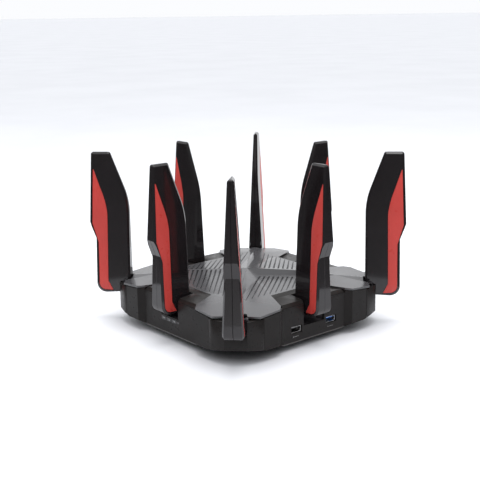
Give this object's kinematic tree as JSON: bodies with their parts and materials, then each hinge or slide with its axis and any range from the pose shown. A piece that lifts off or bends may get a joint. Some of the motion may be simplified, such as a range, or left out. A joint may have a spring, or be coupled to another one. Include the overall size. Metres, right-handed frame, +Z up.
{
  "type": "wireless router",
  "caption": "Low square desktop router with cut corners, a vented pinwheel top and upright blade antennas with red inlays on tilting hinges.",
  "frame": {"origin": "middle of the footprint, on the surface that the feet stand on", "axes": "+Z up; -Y is the face with the flush keys; +X is the face with the USB sockets; the antennas stand up along +Z at rest"},
  "size_m": [0.2474, 0.2474, 0.184],
  "materials": {
    "case_plastic": "fine satin texture",
    "cover_plastic": "satin gloss",
    "light_guide": "clear moulded",
    "circuit_board": "solder mask",
    "heat_sink_metal": "extruded",
    "thermal_pad": "soft",
    "can_steel": "tin plated",
    "socket_shield": "tin plated",
    "usb_steel": "nickel plated",
    "usb_tongue_plastic": "moulded",
    "jack_plastic": "moulded",
    "switch_plastic": "moulded",
    "foot_rubber": "soft matte",
    "screw_steel": "zinc plated",
    "bracket_plastic": "moulded",
    "pin_steel": "ground",
    "cable_jacket": "extruded",
    "label_film": "blank label",
    "key_plastic": "polished",
    "blade_plastic": "polished with satin edges",
    "inlay_red": "satin",
    "radiator_laminate": "solder mask"
  },
  "bodies": {
    "base": {"bottom_case": "case_plastic", "side_frame": "case_plastic", "corner_bumpers": "case_plastic", "side_tabs": "case_plastic", "top_cover": "cover_plastic", "status_light": "light_guide", "main_board": "circuit_board", "heat_sink": "heat_sink_metal", "thermal_pads": "thermal_pad", "shield_cans": "can_steel", "lan_sockets": "socket_shield", "wan_socket": "socket_shield", "usb_shells": "usb_steel", "usb_tongues": "usb_tongue_plastic", "power_jack": "jack_plastic", "tact_switches": "switch_plastic", "rubber_feet": "foot_rubber", "case_screws": "screw_steel", "board_screws": "screw_steel", "antenna_sockets": "bracket_plastic", "hinge_pins": "pin_steel", "antenna_cables": "cable_jacket", "rating_plate": "label_film"},
    "wifi_key_body": {"wifi_key": "key_plastic"},
    "pairing_key_body": {"pairing_key": "key_plastic"},
    "light_key_body": {"light_key": "key_plastic"},
    "power_button_body": {"power_button": "key_plastic"},
    "reset_button_body": {"reset_button": "key_plastic"},
    "antenna_front": {"antenna_front_shell_left": "blade_plastic", "antenna_front_shell_right": "blade_plastic", "antenna_front_inlays": "inlay_red", "antenna_front_radiator": "radiator_laminate"},
    "antenna_right": {"antenna_right_shell_left": "blade_plastic", "antenna_right_shell_right": "blade_plastic", "antenna_right_inlays": "inlay_red", "antenna_right_radiator": "radiator_laminate"},
    "antenna_back": {"antenna_back_shell_left": "blade_plastic", "antenna_back_shell_right": "blade_plastic", "antenna_back_inlays": "inlay_red", "antenna_back_radiator": "radiator_laminate"},
    "antenna_left": {"antenna_left_shell_left": "blade_plastic", "antenna_left_shell_right": "blade_plastic", "antenna_left_inlays": "inlay_red", "antenna_left_radiator": "radiator_laminate"},
    "antenna_front_right": {"antenna_front_right_shell_left": "blade_plastic", "antenna_front_right_shell_right": "blade_plastic", "antenna_front_right_inlays": "inlay_red", "antenna_front_right_radiator": "radiator_laminate"},
    "antenna_back_right": {"antenna_back_right_shell_left": "blade_plastic", "antenna_back_right_shell_right": "blade_plastic", "antenna_back_right_inlays": "inlay_red", "antenna_back_right_radiator": "radiator_laminate"},
    "antenna_back_left": {"antenna_back_left_shell_left": "blade_plastic", "antenna_back_left_shell_right": "blade_plastic", "antenna_back_left_inlays": "inlay_red", "antenna_back_left_radiator": "radiator_laminate"},
    "antenna_front_left": {"antenna_front_left_shell_left": "blade_plastic", "antenna_front_left_shell_right": "blade_plastic", "antenna_front_left_inlays": "inlay_red", "antenna_front_left_radiator": "radiator_laminate"}
  },
  "joints": [
    {"name": "wifi_key_press", "type": "slide", "parent": "base", "child": "wifi_key_body", "axis": [0, 1, 0], "range_m": [0, 0.0006], "stiffness_N_per_m": 700, "springref_m": -0.0006},
    {"name": "pairing_key_press", "type": "slide", "parent": "base", "child": "pairing_key_body", "axis": [0, 1, 0], "range_m": [0, 0.0006], "stiffness_N_per_m": 700, "springref_m": -0.0006},
    {"name": "light_key_press", "type": "slide", "parent": "base", "child": "light_key_body", "axis": [0, 1, 0], "range_m": [0, 0.0006], "stiffness_N_per_m": 700, "springref_m": -0.0006},
    {"name": "power_button_press", "type": "slide", "parent": "base", "child": "power_button_body", "axis": [1, 0, 0], "range_m": [0, 0.0006], "stiffness_N_per_m": 700, "springref_m": -0.0006},
    {"name": "reset_button_press", "type": "slide", "parent": "base", "child": "reset_button_body", "axis": [1, 0, 0], "range_m": [0, 0.0006], "stiffness_N_per_m": 700, "springref_m": -0.0006},
    {"name": "antenna_front_tilt", "type": "hinge", "parent": "base", "child": "antenna_front", "pos_m": [0, -0.0877, 0.044], "axis": [1, 0, 0], "range_deg": [0, 14]},
    {"name": "antenna_right_tilt", "type": "hinge", "parent": "base", "child": "antenna_right", "pos_m": [0.0877, 0, 0.044], "axis": [0, 1, 0], "range_deg": [0, 22]},
    {"name": "antenna_back_tilt", "type": "hinge", "parent": "base", "child": "antenna_back", "pos_m": [0, 0.0877, 0.044], "axis": [-1, 0, 0], "range_deg": [0, 22]},
    {"name": "antenna_left_tilt", "type": "hinge", "parent": "base", "child": "antenna_left", "pos_m": [-0.0877, 0, 0.044], "axis": [0, -1, 0], "range_deg": [0, 22]},
    {"name": "antenna_front_right_tilt", "type": "hinge", "parent": "base", "child": "antenna_front_right", "pos_m": [0.0932, -0.0932, 0.044], "axis": [0.7071, 0.7071, 0], "range_deg": [0, 22]},
    {"name": "antenna_back_right_tilt", "type": "hinge", "parent": "base", "child": "antenna_back_right", "pos_m": [0.0932, 0.0932, 0.044], "axis": [-0.7071, 0.7071, 0], "range_deg": [0, 22]},
    {"name": "antenna_back_left_tilt", "type": "hinge", "parent": "base", "child": "antenna_back_left", "pos_m": [-0.0932, 0.0932, 0.044], "axis": [-0.7071, -0.7071, 0], "range_deg": [0, 22]},
    {"name": "antenna_front_left_tilt", "type": "hinge", "parent": "base", "child": "antenna_front_left", "pos_m": [-0.0932, -0.0932, 0.044], "axis": [0.7071, -0.7071, 0], "range_deg": [0, 22]}
  ]
}
